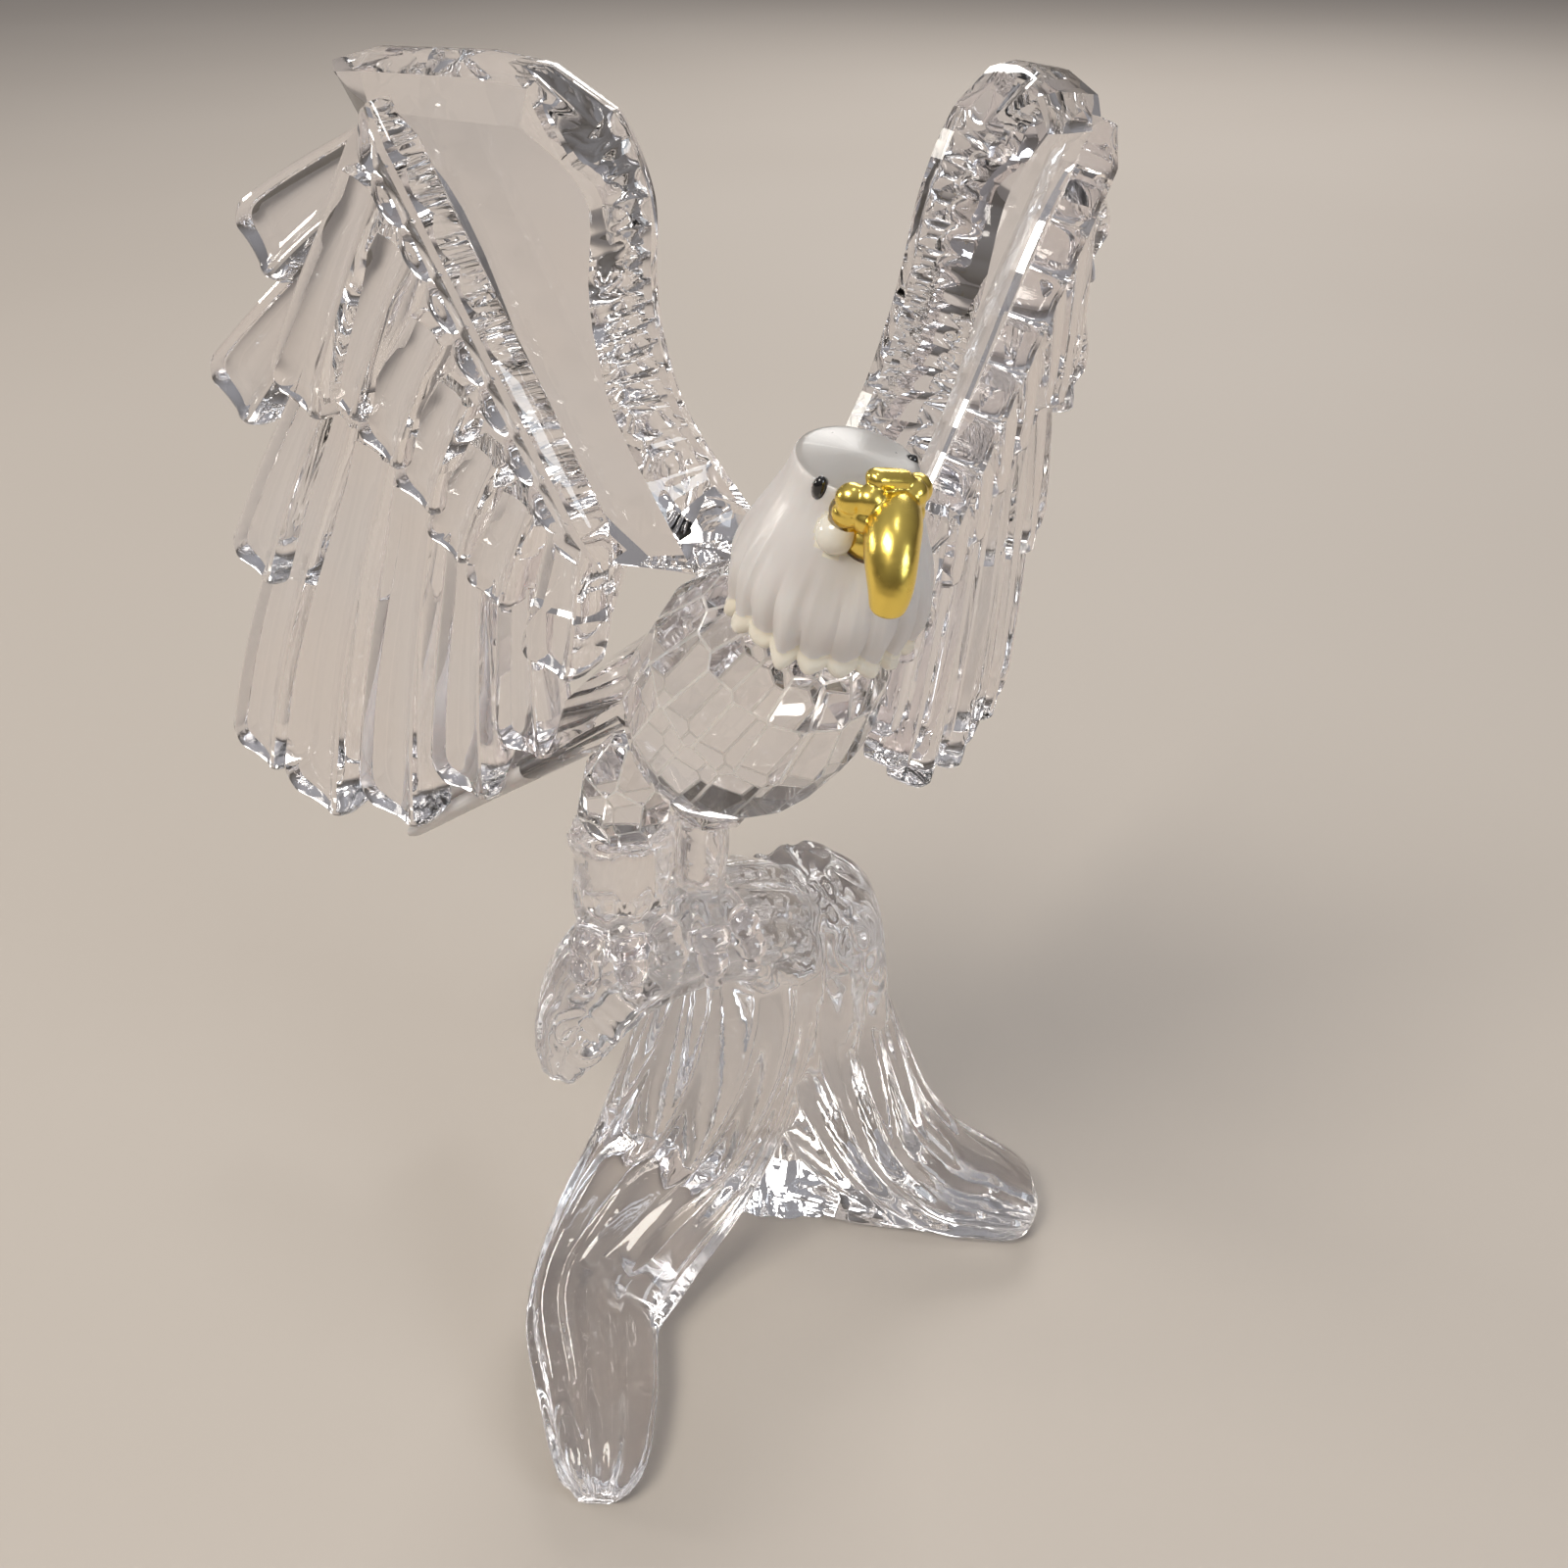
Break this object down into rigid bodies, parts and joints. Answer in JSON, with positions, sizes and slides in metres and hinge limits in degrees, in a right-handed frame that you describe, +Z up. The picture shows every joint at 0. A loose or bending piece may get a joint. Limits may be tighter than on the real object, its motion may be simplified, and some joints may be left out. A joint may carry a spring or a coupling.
{
  "type": "eagle figurine",
  "caption": "Clear crystal eagle with raised pressed wings, a frosted head and tail and a gold beak, perched on a cast crystal root. Stands on its roots as an ornament.",
  "frame": {"origin": "on the table under the foot of the root's trunk, at the underside", "axes": "+Z up, -Y towards the front of the figure, where the beak and the front root point, +X to the right of someone who faces it"},
  "size_m": [0.1012, 0.0834, 0.1547],
  "materials": {
    "clear_crystal": "polished, clear",
    "frosted_crystal": "frosted, satin",
    "polished_gold": "polished",
    "black_glass": "glossy"
  },
  "bodies": {
    "root": {"base": "clear_crystal", "body": "clear_crystal", "thigh_right": "clear_crystal", "thigh_left": "clear_crystal", "head": "frosted_crystal", "beak": "polished_gold", "eye_right": "black_glass", "eye_left": "black_glass", "tail": "frosted_crystal", "wing_right": "clear_crystal", "wing_left": "clear_crystal"}
  },
  "joints": []
}
